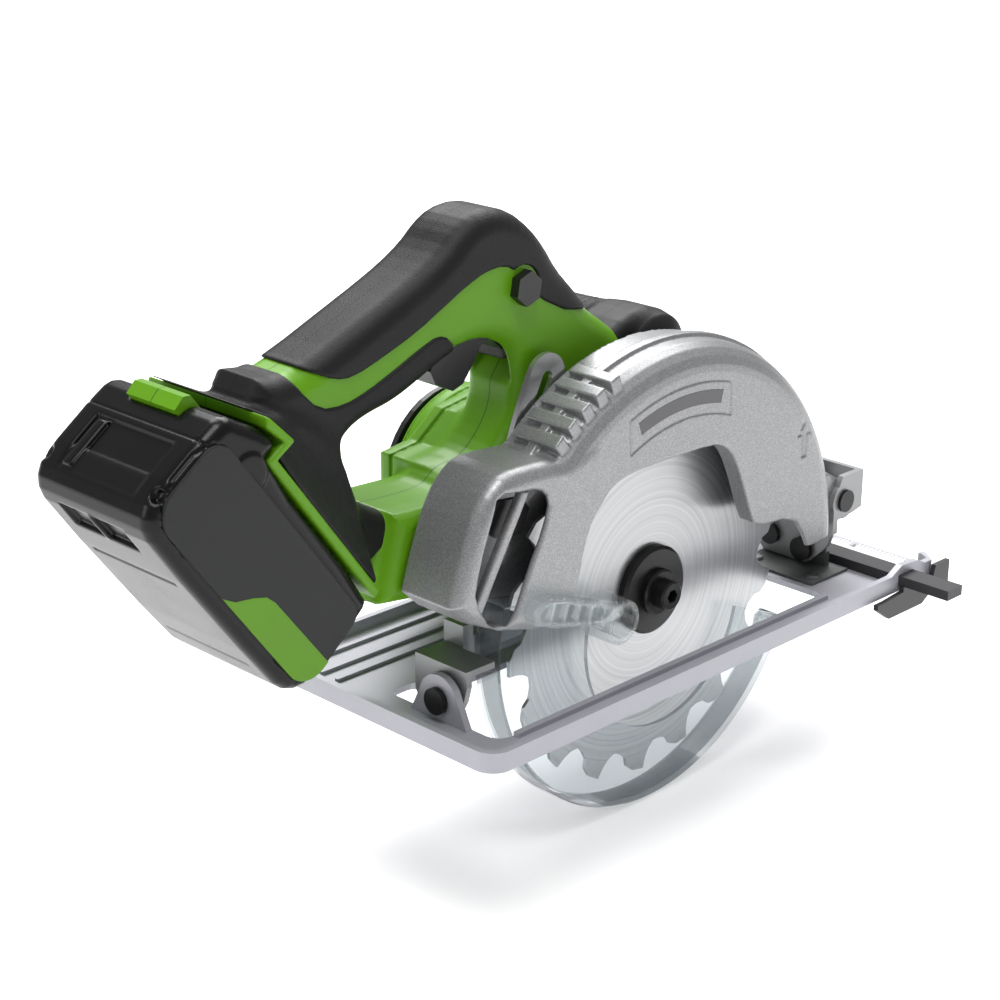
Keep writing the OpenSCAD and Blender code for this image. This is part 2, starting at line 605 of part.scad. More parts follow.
module rubber_half(y0, y1) difference() {
    intersection() {
        handle_solid(2);
        slab(y0 - 1, y1 + 1) rubber_outline();
    }
    handle_solid();
    slab(y0 < mid_y - 1 ? mid_y : y0 - 50, y0 < mid_y - 1 ? y1 + 50 : mid_y)
        square([600, 600], center = true);
    rod(lock_off_x, lock_off_z, 9, 0, 80);
    rotate([0, pack_angle, 0]) slab(0, 80) polygon([[pack_x0, -160], [pack_x0, -77.5],
        [pack_x1, -77.5], [pack_x1, -160]]);
    trigger_room(mid_y - 12, mid_y + 12);
}

module grip_rubber_right() color([0.13, 0.13, 0.13]) on_saw() rubber_half(rubber_y0, mid_y);
module grip_rubber_left() color([0.13, 0.13, 0.13]) on_saw() rubber_half(mid_y, rubber_y1);

module aux_handle() color([0.11, 0.11, 0.11]) on_saw() difference() {
    union() {
        translate([27, 0, 130.5]) rotate([-90, 0, 0]) rotate_extrude($fn = 64)
            polygon([[0, 15], [12, 15], [17, 19], [18.6, 26], [18.6, 44], [16.5, 60],
                [16, 78], [18, 90], [14, 99], [0, 101]]);
        slab(24, 52) polygon([[-6, 98], [-6, 146], [27, 148.6], [44, 124], [30, 102]]);
    }
    handle_solid(0.05);
}

housing_screw_at = [[-148, 68], [-112, 66], [2, 126], [-24, 142]];
module housing_screws() color([0.3, 0.3, 0.31]) on_saw() for (p = housing_screw_at)
    difference() {
        union() {
            rod(p[0], p[1], 1.7, core_y0 + 4, core_y1 - 2);
            rod(p[0], p[1], 3.5, core_y1 - 2.5, core_y1 - 0.5);
        }
        slab(core_y1 - 1.6, core_y1) translate(p) circle(1.6, $fn = 6);
    }

// ---------------------------------------------------------------- electrics
module stator() color([0.45, 0.3, 0.2]) on_saw() difference() {
    rod(motor_x, motor_z, 27.8, 46, 76);
    rod(motor_x, motor_z, 16.5, 45, 77);
}

module rotor() color([0.35, 0.35, 0.38]) on_saw() difference() {
    rod(motor_x, motor_z, 16, 45, 77);
    rod(motor_x, motor_z, 4.02, 44, 78);
}

module motor_shaft() color([0.7, 0.71, 0.74]) on_saw() {
    rod(motor_x, motor_z, 4, 31, 94);
    slab(17, 31) translate([motor_x, motor_z]) rotate(motor_dir)
        polygon(gear_points(pinion_teeth));
}

module fan() color([0.12, 0.12, 0.12]) on_saw() difference() {
    union() {
        rod(motor_x, motor_z, 8, 38, 44.5);
        rod(motor_x, motor_z, 27, 38, 39.6);
        for (a = [0 : 30 : 330]) translate([motor_x, 0, motor_z]) rotate([0, a, 0])
            translate([7, 39, -0.7]) cube([19, 5, 1.4]);
    }
    rod(motor_x, motor_z, 4.02, 37, 46);
}

module trigger_switch() color([0.15, 0.15, 0.16]) on_saw()
    slab(mid_y - 9, mid_y + 9) polygon([[-106, 176], [-106, 184], [-84, 192], [-70, 192],
        [-70, 181], [-88, 175]]);

module control_board() color([0.05, 0.3, 0.12]) on_saw()
    translate([-140, mid_y - 11, 62]) cube([22, 22, 18]);

module terminal_block() color([0.12, 0.12, 0.12]) in_pack()
    translate([pack_x1 - 11.6, mid_y - 22, -94]) cube([7.4, 44, 9.8]);

// ---------------------------------------------------------------- controls
depth_bolt_a = 179.6;
depth_bolt_x = pivot_x + quad_bolt_r * cos(depth_bolt_a);
depth_bolt_z = pivot_z + quad_bolt_r * sin(depth_bolt_a);

module depth_bolt() color([0.5, 0.5, 0.52]) on_saw() {
    rod(depth_bolt_x, depth_bolt_z, 5.6, 12.8 + 0.1, 13.8);
    rod(depth_bolt_x, depth_bolt_z, 3, 13.8, 62);
}

module depth_lock_lever() color([0.1, 0.1, 0.1]) on_saw() difference() {
    union() {
        rod(depth_bolt_x, depth_bolt_z, 8, 56, 66);
        slab(58, 64) polygon(belt(depth_bolt_x, depth_bolt_z, 7,
            depth_bolt_x - 38, depth_bolt_z + 6, 4.5));
    }
    rod(depth_bolt_x, depth_bolt_z, 3.03, 50, 63);
}

trigger_pin_x = -73;
trigger_pin_z = 166;
module trigger() color([0.09, 0.09, 0.09]) on_saw() {
    slab(mid_y - 10.5, mid_y + 10.5) polygon([[-76, 169], [-70, 169], [-66, 164], [-66, 156],
        [-65, 149], [-68, 148.5], [-75, 154.5], [-80, 153.5], [-84, 147], [-91, 138],
        [-97, 136], [-107, 141], [-110, 147], [-104, 158], [-98, 164.5], [-88, 169]]);
    // trunnions that it pivots on
    rod(trigger_pin_x, trigger_pin_z, 2, mid_y - 12.8, mid_y + 12.8);
}

lock_off_x = -62.5;
lock_off_z = 176;
module lock_off_button() color([0.07, 0.07, 0.07]) on_saw() {
    for (y = [rubber_y0 - 2.6, core_y1 - 1.4]) slab(y, y + 6)
        translate([lock_off_x, lock_off_z]) rotate(20) circle(7.8, $fn = 6);
    rod(lock_off_x, lock_off_z, 5, rubber_y0 + 3.3, core_y1 - 1.3);
}

lock_z = 44;
module spindle_lock_button() color([0.1, 0.1, 0.1]) on_saw() {
    bar(22, lock_z, 4, 22, 36);
    bar(22, lock_z, 6.5, 36, 42);
}

// ---------------------------------------------------------------- blade and its drive
module tooth_outline() polygon(concat(
    [[blade_r - 13, 3.5], [blade_r - 4, 2.8], [blade_r, 0.2], [blade_r - 0.6, -4.5],
        [blade_r - 4.5, -9], [blade_r - 13, -12]]));

function tooth_ring() = [for (k = [0 : tooth_count - 1]) let (a = 360 * k / tooth_count - 90)
    each [
        [(blade_r - 8.5) * cos(a - 8.5), (blade_r - 8.5) * sin(a - 8.5)],
        [(blade_r - 4.2) * cos(a - 7.5), (blade_r - 4.2) * sin(a - 7.5)],
        [(blade_r - 1) * cos(a - 4.5), (blade_r - 1) * sin(a - 4.5)],
        [blade_r * cos(a), blade_r * sin(a)],
        [(blade_r - 5) * cos(a + 0.9), (blade_r - 5) * sin(a + 0.9)],
        [(blade_r - 9) * cos(a + 2.4), (blade_r - 9) * sin(a + 2.4)],
        [(blade_r - 12) * cos(a + 5), (blade_r - 12) * sin(a + 5)],
        [(blade_r - 11.5) * cos(a + 8), (blade_r - 11.5) * sin(a + 8)]]];

module blade() color([0.78, 0.79, 0.81]) on_saw() difference() {
    translate([0, 0, arbor_z]) slab(-blade_t / 2, blade_t / 2) polygon(tooth_ring());
    rod(0, arbor_z, spindle_r + 0.02, -3, 3);
}

module inner_flange() color([0.12, 0.12, 0.12]) on_saw() difference() {
    rod(0, arbor_z, 18.3, blade_t / 2, 4.6);
    rod(0, arbor_z, spindle_r + 0.02, 0, 6);
}

module outer_flange() color([0.1, 0.1, 0.1]) on_saw() difference() {
    turned(0, 360) polygon([[4.05, -9], [10, -9], [11, -8.2], [11, -5.6], [19.5, -5.2],
        [21, -4], [21, -blade_t / 2 - 0.02], [4.05, -blade_t / 2 - 0.02]]);
}

module blade_bolt() color([0.1, 0.1, 0.1]) on_saw() difference() {
    union() {
        turned(0, 360) polygon([[0, -15.4], [6, -15.4], [7, -14.6], [7, -9.02], [0, -9.02]]);
        rod(0, arbor_z, 4, -9.03, 14);
    }
    slab(-16, -10.6) translate([0, arbor_z]) circle(3.4, $fn = 6);
}

module spindle() color([0.66, 0.67, 0.7]) on_saw() difference() {
    union() {
        rod(0, arbor_z, spindle_r, -blade_t / 2, 26);
        rod(0, arbor_z, 5, 26, 37);
    }
    rod(0, arbor_z, 4.03, -2, 14.2);
}

module spindle_gear() color([0.6, 0.6, 0.62]) on_saw() difference() {
    slab(18, 25.5) translate([0, arbor_z]) rotate(motor_dir) polygon(gear_points(gear_teeth));
    rod(0, arbor_z, spindle_r + 0.02, 17, 27);
}

// ---------------------------------------------------------------- lower guard
guard_a0 = 168;
guard_a1 = 337;
module lower_guard() color([0.85, 0.9, 0.92, 0.35]) on_saw() difference() {
    union() {
        turned(guard_a0, guard_a1) polygon([[23, 6.4], [23, 8.3], [lower_guard_r - 1, 8.3],
            [lower_guard_r, 7.3], [lower_guard_r, -6.4], [lower_guard_r - 1, -7.4], [47, -7.4],
            [47, -5.4], [101.6, -5.4], [101.6, 6.4]]);
        rod(0, arbor_z, 27, 6.25, 9.2);
        // foot at the front end
        translate([89, -6.9, -24]) cube([9, 14.6, 9]);
    }
    rod(0, arbor_z, 20.06, 0, 12);
    rod(5, 13, 53, -9, -4);
}

module guard_lever() color([0.85, 0.9, 0.92, 0.35]) on_saw() difference() {
    union() {
        // arm that lies outside the upper guard
        slab(-31.5, -22.6) polygon([[-104, 46], [-106, 56], [-98, 60], [-62, 47], [-54, 38],
            [-60, 34.8]]);
        slab(-24.5, -22.6) polygon([[-62, 46], [-44, 42], [-40, 20], [-60, 31]]);
        // ring end, joined to the near wall through the window
        slab(-24.5, -7.42) translate([-43.5, 30]) circle(10.5);
    }
    slab(-26, -11) translate([-43.5, 30]) circle(6.5);
}

// ---------------------------------------------------------------- battery pack
case_points = concat([[pack_x0, -112]], arc(pack_x0 + 14, pack_z0 + 14, 14, 180, 270, 5),
    arc(pack_x1 - 12, pack_z0 + 12, 12, 270, 360, 5), [[pack_x1, -112]]);
module battery_case() color([0.05, 0.05, 0.055]) in_pack() difference() {
    loft(case_points, [[pack_y0 + 1.2, 5.5], [pack_y0 + 3, 3], [pack_y0 + 7, 0.9],
        [pack_y0 + 13, 0], [pack_y1 - 13, 0], [pack_y1 - 7, 0.9], [pack_y1 - 3, 3],
        [pack_y1 - 1.2, 5.5]]);
    slab(pack_y0 + 3.6, pack_y1 - 3.6) polygon(round_rect(pack_x0 + 4, pack_z0 + 4,
        pack_x1 - 4, -100, 9));
    slab(pack_y0, pack_y1) polygon([[pack_x0 - 1, -112], [pack_x0 - 1, -100],
        [pack_x1 + 1, -100], [pack_x1 + 1, -112]]);
}

lid_points = [[pack_x0, -112], [pack_x1, -112], [pack_x1, -104], [pack_x1 - 6, pack_z1],
    [pack_x0 + 14, pack_z1], [pack_x0 + 5, -91], [pack_x0 + 2, -92], [pack_x0, -95]];
module battery_lid() color([0.06, 0.06, 0.065]) in_pack() difference() {
    union() {
        loft(lid_points, [[pack_y0 + 1.2, 3], [pack_y0 + 3.5, 1.2], [pack_y0 + 8, 0],
            [pack_y1 - 8, 0], [pack_y1 - 3.5, 1.2], [pack_y1 - 1.2, 3]]);
        slab(pack_y0 + 1.2, pack_y1 - 1.2) polygon([[pack_x0 + 3, -112],
            [pack_x1 - 3, -112], [pack_x1 - 3, -108], [pack_x0 + 3, -108]]);
        // rails that slide into the saw
        slab(pack_y0 + 16, pack_y1 - 16) polygon([[pack_x0 + 9, pack_z1 - 1],
            [pack_x0 + 9, -86], [pack_x1 - 12.5, -86], [pack_x1 - 12.5, pack_z1 - 1]]);
    }
    slab(pack_y0 + 3.6, pack_y1 - 3.6) polygon([[pack_x0 + 4, -113], [pack_x0 + 4, -102],
        [pack_x0 + 13, pack_z1 - 2.6], [pack_x1 - 7, pack_z1 - 2.6],
        [pack_x1 - 4, -105], [pack_x1 - 4, -113]]);
    // pocket of the latch and slots of the terminals
    slab(mid_y - 15.2, mid_y + 15.2) polygon([[pack_x0 - 4, -98.6], [pack_x0 - 4, -80],
        [pack_x0 + 11.6, -80], [pack_x0 + 11.6, -98.6]]);
    slab(mid_y - 20, mid_y + 20) polygon([[pack_x1 - 24, -93], [pack_x1, -93], [pack_x1, -80],
        [pack_x1 - 24, -80]]);
}

module battery_panels() color([0.2, 0.2, 0.205]) in_pack()
    for (y = [pack_y0, pack_y1 - 1.2]) slab(y, y + 1.2) polygon(concat(
        arc(pack_x0 + 12, -109, 10, 100, 180, 4), arc(pack_x0 + 14, -127, 12, 180, 270, 4),
        arc(pack_x1 - 13, -128, 11, 270, 360, 4), arc(pack_x1 - 10, -107, 8, 0, 80, 4)));

module battery_cells() color([0.25, 0.45, 0.6]) in_pack()
    for (i = [0 : 5], z = [-131.7, -113.3]) translate([pack_x0 + 14.2 + 18.3 * i, pack_y0 + 5, z])
        rotate([-90, 0, 0]) cylinder(h = 65, r = 9, $fn = 32);

module battery_terminals() color([0.75, 0.6, 0.25]) in_pack()
    for (y = [-15, -5, 5, 15]) translate([pack_x1 - 22, mid_y + y - 1, -93]) cube([5, 2, 5]);

module battery_latch() color([0.42, 0.66, 0.16]) in_pack()
    slab(mid_y - 15, mid_y + 15) polygon([[pack_x0 - 2.6, -98.4], [pack_x0 - 3.6, -92.5],
        [pack_x0 - 1.5, -89.8], [pack_x0 + 8, -89.8], [pack_x0 + 8, -98.4]]);

base_plate();
front_scale();
front_tilt_foot();
bevel_pins();
base_rivets();
rip_fence();
fence_clamp_screw();
front_tilt_bracket();
rear_tilt_bracket();
depth_quadrant();
depth_pivot_pin();
bevel_lock_lever();
upper_guard();
chute_insert();
guard_screws();
gear_case();
gear_case_cover();
housing_right();
housing_left();
motor_end_cap();
grip_rubber_right();
grip_rubber_left();
aux_handle();
stator();
motor_bearings();
spindle_bearings();
trigger_switch();
control_board();
terminal_block();
housing_screws();
depth_bolt();
guard_circlip();
guard_spring();
depth_lock_lever();
blade();
inner_flange();
outer_flange();
blade_bolt();
spindle();
spindle_gear();
rotor();
motor_shaft();
fan();
lower_guard();
guard_lever();
trigger();
lock_off_button();
spindle_lock_button();
battery_case();
battery_lid();
battery_panels();
battery_cells();
battery_terminals();
battery_latch();
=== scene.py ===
import math

import bpy
import numpy as np
import openvdb
from mathutils import Matrix, Vector


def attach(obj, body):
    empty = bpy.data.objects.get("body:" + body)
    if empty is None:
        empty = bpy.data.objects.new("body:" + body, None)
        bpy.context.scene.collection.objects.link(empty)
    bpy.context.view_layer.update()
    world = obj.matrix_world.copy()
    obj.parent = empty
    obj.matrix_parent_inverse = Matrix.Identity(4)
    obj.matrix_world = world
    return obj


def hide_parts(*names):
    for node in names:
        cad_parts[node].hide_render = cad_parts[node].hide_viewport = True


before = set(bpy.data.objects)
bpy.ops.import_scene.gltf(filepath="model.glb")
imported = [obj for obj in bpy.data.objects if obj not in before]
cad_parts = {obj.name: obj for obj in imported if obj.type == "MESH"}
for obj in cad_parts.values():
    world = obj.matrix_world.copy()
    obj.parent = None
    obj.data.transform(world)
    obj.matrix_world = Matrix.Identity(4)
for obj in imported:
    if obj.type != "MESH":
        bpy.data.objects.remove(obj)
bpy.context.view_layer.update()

MM = 0.001
BLADE_Y = -25.5
ARBOR_Z = 27.0
SLOPE = math.radians(53.13)     # tilt of the battery's own frame
HOUSING_STEP = 0.75
GUARD_STEP = 0.62
LEVER_STEP = 0.5
TRIGGER_X, TRIGGER_Z = -73, 166     # pin that the trigger turns on
PIVOT_X, PIVOT_Z = 130, 40          # pin that the head tips on for depth
RING_X, RING_Z = -43.5, 30          # ring at the root of the clear lever
MID_Y = 38                          # middle of the handle and of the battery
FLOOR_Z = -0.0775


# ------------------------------------------------------------------ distance fields, in mm
class Grid:
    """A box of sample points; x, y and z broadcast against each other."""

    def __init__(self, lo, hi, step):
        self.lo, self.step = np.array(lo, float), step
        n = [int(math.ceil((b - a) / step)) + 1 for a, b in zip(lo, hi)]
        self.shape = tuple(n)
        self.x = (lo[0] + step * np.arange(n[0]))[:, None, None]
        self.y = (lo[1] + step * np.arange(n[1]))[None, :, None]
        self.z = (lo[2] + step * np.arange(n[2]))[None, None, :]


def outline(points, x, z):
    """Signed distance to a closed outline, negative inside."""
    p = np.asarray(points, float)
    x, z = np.broadcast_arrays(x, z)
    best, inside = np.full(x.shape, 1e9), np.zeros(x.shape, bool)
    for (ax, az), (bx, bz) in zip(p, np.roll(p, -1, 0)):
        ex, ez = bx - ax, bz - az
        t = np.clip(((x - ax) * ex + (z - az) * ez) / (ex * ex + ez * ez + 1e-12), 0, 1)
        best = np.minimum(best, (x - ax - t * ex) ** 2 + (z - az - t * ez) ** 2)
        if abs(bz - az) > 1e-9:
            inside ^= ((az > z) != (bz > z)) & (x < (bx - ax) * (z - az) / (bz - az) + ax)
    d = np.sqrt(best)
    return np.where(inside, -d, d)


def soft_points(points, times=2):
    """Corner cutting, so an outline drawn with few points runs smoothly."""
    p = np.asarray(points, float)
    for _ in range(times):
        q = np.roll(p, -1, 0)
        p = np.stack([0.75 * p + 0.25 * q, 0.25 * p + 0.75 * q], 1).reshape(-1, 2)
    return p


def rounded(d2, w, r):
    """Where two distances are both inside, with the edge between them rounded by r."""
    a, b = d2 + r, w + r
    return np.minimum(np.maximum(a, b), 0) + np.hypot(np.maximum(a, 0), np.maximum(b, 0)) - r


def band(y, y0, y1):
    """Distance to the slab between y0 and y1."""
    return np.abs(y - (y0 + y1) / 2) - (y1 - y0) / 2


def join(a, b, k):
    """Smooth union, blended over k."""
    h = np.clip(0.5 + 0.5 * (b - a) / k, 0, 1)
    return b * (1 - h) + a * h - k * h * (1 - h)


def cut(a, b, k):
    """Takes b out of a, blended over k."""
    return -join(-a, b, k)


def both(a, b, k):
    """What a and b share, blended over k."""
    return -join(-a, -b, k)


def belt_sd(x, z, ax, az, ar, bx, bz, br):
    """Distance to the belt round two circles."""
    ex, ez = bx - ax, bz - az
    t = np.clip(((x - ax) * ex + (z - az) * ez) / (ex * ex + ez * ez), 0, 1)
    return np.hypot(x - ax - t * ex, z - az - t * ez) - (ar + (br - ar) * t)


def skin(name, grid, field, body, nodes=(), turn=0.0):
    """Meshes a distance field and puts it on a body in place of CAD nodes."""
    field = np.broadcast_to(field, grid.shape)
    vdb = openvdb.FloatGrid(background=3.0)
    vdb.copyFromArray(np.ascontiguousarray(np.clip(field, -3, 3), dtype=np.float32))
    pts, quads = vdb.convertToQuads(0.0)
    v = np.asarray(pts, float) * grid.step + grid.lo
    if turn:
        c, s = math.cos(turn), math.sin(turn)
        v = np.stack([v[:, 0] * c + v[:, 2] * s, v[:, 1], v[:, 2] * c - v[:, 0] * s], 1)
    v[:, 1] += BLADE_Y
    return solid(name, v, np.asarray(quads)[:, ::-1], body, nodes)


def solid(name, v, faces, body, nodes=(), smooth=True):
    """Makes an object from points in mm, puts it on a body and lets it stand for CAD nodes."""
    me = bpy.data.meshes.new(name)
    me.from_pydata((np.asarray(v) * MM).tolist(), [], [list(map(int, f)) for f in faces])
    me.validate()
    me.update()
    if smooth:
        me.polygons.foreach_set("use_smooth", [True] * len(me.polygons))
    o = bpy.data.objects.new(name, me)
    bpy.context.scene.collection.objects.link(o)
    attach(o, body)
    if nodes:
        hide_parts(*nodes)
    return o


def extruded(name, points, y0, y1, body, nodes=(), bevel=0.0, turn=0.0):
    """A flat outline in X and Z with thickness along Y and softened edges."""
    p = np.asarray(points, float)
    n = len(p)
    if turn:
        c, s = math.cos(turn), math.sin(turn)
        p = np.stack([p[:, 0] * c + p[:, 1] * s, p[:, 1] * c - p[:, 0] * s], 1)
    v = [(a, y0 + BLADE_Y, b) for a, b in p] + [(a, y1 + BLADE_Y, b) for a, b in p]
    faces = [list(range(n)), list(range(2 * n - 1, n - 1, -1))]
    faces += [[i, i + n, (i + 1) % n + n, (i + 1) % n] for i in range(n)]
    o = solid(name, v, faces, body, nodes, smooth=False)
    if bevel:
        soften(o, bevel, 3)
    return o


def soften(o, width, segments=2, angle=32):
    """Rounds the sharp edges of an object with a bevel modifier."""
    m = o.modifiers.new("edges", "BEVEL")
    m.width, m.segments, m.limit_method = width * MM, segments, "ANGLE"
    m.angle_limit = math.radians(angle)
    m.use_clamp_overlap = True
    m.harden_normals = True


# ------------------------------------------------------------------ materials
def shader(name):
    m = bpy.data.materials.new(name)
    m.use_nodes = True
    t = m.node_tree
    return m, t, t.nodes["Principled BSDF"]


def node(t, kind, **values):
    n = t.nodes.new(kind)
    for k, v in values.items():
        if k in n.inputs.keys():
            n.inputs[k].default_value = v
        else:
            setattr(n, k, v)
    return n


def coords(t):
    n = t.nodes.new("ShaderNodeTexCoord")
    return n.outputs["Object"]


def ramp(t, value, stops):
    r = t.nodes.new("ShaderNodeValToRGB")
    while len(r.color_ramp.elements) < len(stops):
        r.color_ramp.elements.new(0.5)
    for e, (pos, c) in zip(r.color_ramp.elements, stops):
        e.position = pos
        e.color = (*c, 1)
    t.links.new(value, r.inputs[0])
    return r.outputs["Color"]


def calc(t, op, a, b=None, clamp=False):
    n = t.nodes.new("ShaderNodeMath")
    n.operation, n.use_clamp = op, clamp
    for i, v in enumerate((a, b)):
        if v is None:
            continue
        if isinstance(v, (int, float)):
            n.inputs[i].default_value = v
        else:
            t.links.new(v, n.inputs[i])
    return n.outputs[0]


def finish_of(name, colour, rough, metal=0.0, grain=900, grain_depth=0.05, mottle=0.06,
              coat=0.0, spec=0.5, wear=0.06, scale=40, seam=None, sparkle=0.0, stretch=None):
    """A moulded, painted or machined finish: mottled colour, uneven gloss and fine grain."""
    m, t, b = shader(name)
    at = coords(t)
    if stretch:
        mp = node(t, "ShaderNodeMapping")
        mp.inputs["Scale"].default_value = stretch
        t.links.new(at, mp.inputs["Vector"])
        at = mp.outputs["Vector"]
    broad = node(t, "ShaderNodeTexNoise", Scale=scale, Detail=5.0, Roughness=0.6)
    fine = node(t, "ShaderNodeTexNoise", Scale=grain, Detail=3.0, Roughness=0.55)
    for n in (broad, fine):
        t.links.new(at, n.inputs["Vector"])
    dark = tuple(c * (1 - mottle) for c in colour)
    light = tuple(min(1, c * (1 + mottle)) for c in colour)
    col = ramp(t, broad.outputs["Fac"], [(0.3, dark), (0.7, light)])
    if sparkle:
        mix = node(t, "ShaderNodeMix", data_type="RGBA")
        flakes = node(t, "ShaderNodeTexVoronoi", Scale=2600.0)
        t.links.new(at, flakes.inputs["Vector"])
        f = ramp(t, flakes.outputs["Color"], [(0.35, (0, 0, 0)), (0.8, (sparkle,) * 3)])
        t.links.new(f, mix.inputs["Factor"])
        t.links.new(col, mix.inputs["A"])
        mix.inputs["B"].default_value = (0.95, 0.95, 0.96, 1)
        col = mix.outputs["Result"]
    height = fine.outputs["Fac"]
    if seam is not None:
        sep = node(t, "ShaderNodeSeparateXYZ")
        t.links.new(coords(t), sep.inputs[0])
        off = calc(t, "ABSOLUTE", calc(t, "SUBTRACT", sep.outputs["Y"], seam * MM))
        line = calc(t, "LESS_THAN", off, 0.00028)
        mix = node(t, "ShaderNodeMix", data_type="RGBA")
        t.links.new(calc(t, "MULTIPLY", line, 0.75), mix.inputs["Factor"])
        t.links.new(col, mix.inputs["A"])
        mix.inputs["B"].default_value = (*[c * 0.25 for c in colour], 1)
        col = mix.outputs["Result"]
        height = calc(t, "SUBTRACT", height, calc(t, "MULTIPLY", line, 3.0))
    t.links.new(col, b.inputs["Base Color"])
    r = t.nodes.new("ShaderNodeMapRange")
    r.inputs["To Min"].default_value = max(0.02, rough - wear)
    r.inputs["To Max"].default_value = min(1, rough + wear)
    t.links.new(broad.outputs["Fac"], r.inputs["Value"])
    t.links.new(r.outputs["Result"], b.inputs["Roughness"])
    bump = node(t, "ShaderNodeBump", Strength=1.0, Distance=grain_depth * MM)
    t.links.new(height, bump.inputs["Height"])
    t.links.new(bump.outputs["Normal"], b.inputs["Normal"])
    b.inputs["Metallic"].default_value = metal
    b.inputs["Specular IOR Level"].default_value = spec
    b.inputs["Coat Weight"].default_value = coat
    b.inputs["Coat Roughness"].default_value = 0.08
    return m


SEAM_Y = MID_Y + BLADE_Y
green = finish_of("green_moulding", (0.105, 0.285, 0.006), 0.36, grain=1500, grain_depth=0.03,
                  mottle=0.03, coat=0.0, spec=0.25, seam=SEAM_Y)
rubber = finish_of("black_overmould", (0.009, 0.009, 0.0095), 0.48, grain=1300, grain_depth=0.16,
                   mottle=0.12, spec=0.24, seam=SEAM_Y)
black = finish_of("black_moulding", (0.008, 0.008, 0.0085), 0.36, grain=1600, grain_depth=0.05,
                  mottle=0.1)
gloss = finish_of("battery_gloss", (0.004, 0.004, 0.0045), 0.26, grain=500, grain_depth=0.01,
                   mottle=0.1, coat=0.03, spec=0.22)
silver = finish_of("cast_silver_paint", (0.255, 0.258, 0.265), 0.38, metal=0.55, grain=1500,
                   grain_depth=0.03, mottle=0.02, sparkle=0.16)
plate = finish_of("sole_paint", (0.40, 0.40, 0.44), 0.42, metal=0.25, grain=1200, grain_depth=0.03,
                  mottle=0.03)
bracket = finish_of("bracket_paint", (0.30, 0.305, 0.31), 0.38, metal=0.55, grain=1200,
                    grain_depth=0.04, mottle=0.05)
zinc = finish_of("zinc_plate", (0.55, 0.55, 0.56), 0.32, metal=0.9, grain=900, grain_depth=0.03,
                 mottle=0.06)
dark_grey = finish_of("dark_grey_paint", (0.10, 0.105, 0.105), 0.42, metal=0.3, grain=900,
                      grain_depth=0.04, mottle=0.08)
black_steel = finish_of("blacked_steel", (0.011, 0.011, 0.0115), 0.33, metal=0.25, grain=1200,
                        grain_depth=0.03, mottle=0.12, spec=0.35)
steel = finish_of("plain_steel", (0.55, 0.55, 0.57), 0.28, metal=1.0, grain=1500, grain_depth=0.02,
                  mottle=0.05)
fence_paint = finish_of("fence_paint", (0.035, 0.035, 0.038), 0.42, metal=0.3, grain=900,
                        grain_depth=0.04, mottle=0.1)
copper = finish_of("windings", (0.30, 0.13, 0.05), 0.4, metal=0.7, grain=700, grain_depth=0.1,
                   mottle=0.15)
board = finish_of("board_green", (0.02, 0.12, 0.04), 0.35, grain=500, grain_depth=0.05, mottle=0.2)
cell_wrap = finish_of("cell_wrap", (0.06, 0.22, 0.42), 0.25, grain=300, grain_depth=0.02,
                      mottle=0.05)
brass = finish_of("terminal_brass", (0.62, 0.44, 0.16), 0.3, metal=1.0, grain=900,
                  grain_depth=0.02, mottle=0.06)
badge_grey = finish_of("badge_grey", (0.10, 0.10, 0.105), 0.4, metal=0.3, grain=1500,
                       grain_depth=0.03, mottle=0.06)
panel_grey = finish_of("panel_film", (0.016, 0.0165, 0.0175), 0.42, grain=1500, grain_depth=0.03,
                       mottle=0.06, spec=0.25)
panel_green = finish_of("panel_green", (0.105, 0.27, 0.008), 0.36, grain=1500, grain_depth=0.02,
                        mottle=0.03, spec=0.25)


def blade_finish():
    """Ground steel with rings turned round the arbor."""
    m, t, b = shader("ground_blade")
    mp = node(t, "ShaderNodeMapping")
    mp.inputs["Location"].default_value = (0, 0, -ARBOR_Z * MM)
    t.links.new(coords(t), mp.inputs["Vector"])
    ln = node(t, "ShaderNodeVectorMath", operation="LENGTH")
    t.links.new(mp.outputs["Vector"], ln.inputs[0])
    rings = node(t, "ShaderNodeTexNoise", noise_dimensions="1D", Scale=1.0, Detail=6.0,
                 Roughness=0.75)
    t.links.new(calc(t, "MULTIPLY", ln.outputs["Value"], 520.0), rings.inputs["W"])
    col = ramp(t, rings.outputs["Fac"], [(0.3, (0.36, 0.365, 0.375)), (0.72, (0.52, 0.53, 0.54))])
    t.links.new(col, b.inputs["Base Color"])
    b.inputs["Metallic"].default_value = 0.85
    r = t.nodes.new("ShaderNodeMapRange")
    r.inputs["To Min"].default_value = 0.22
    r.inputs["To Max"].default_value = 0.42
    t.links.new(rings.outputs["Fac"], r.inputs["Value"])
    t.links.new(r.outputs["Result"], b.inputs["Roughness"])
    b.inputs["Anisotropic"].default_value = 0.6
    bump = node(t, "ShaderNodeBump", Strength=0.5, Distance=0.00004)
    t.links.new(rings.outputs["Fac"], bump.inputs["Height"])
    t.links.new(bump.outputs["Normal"], b.inputs["Normal"])
    return m


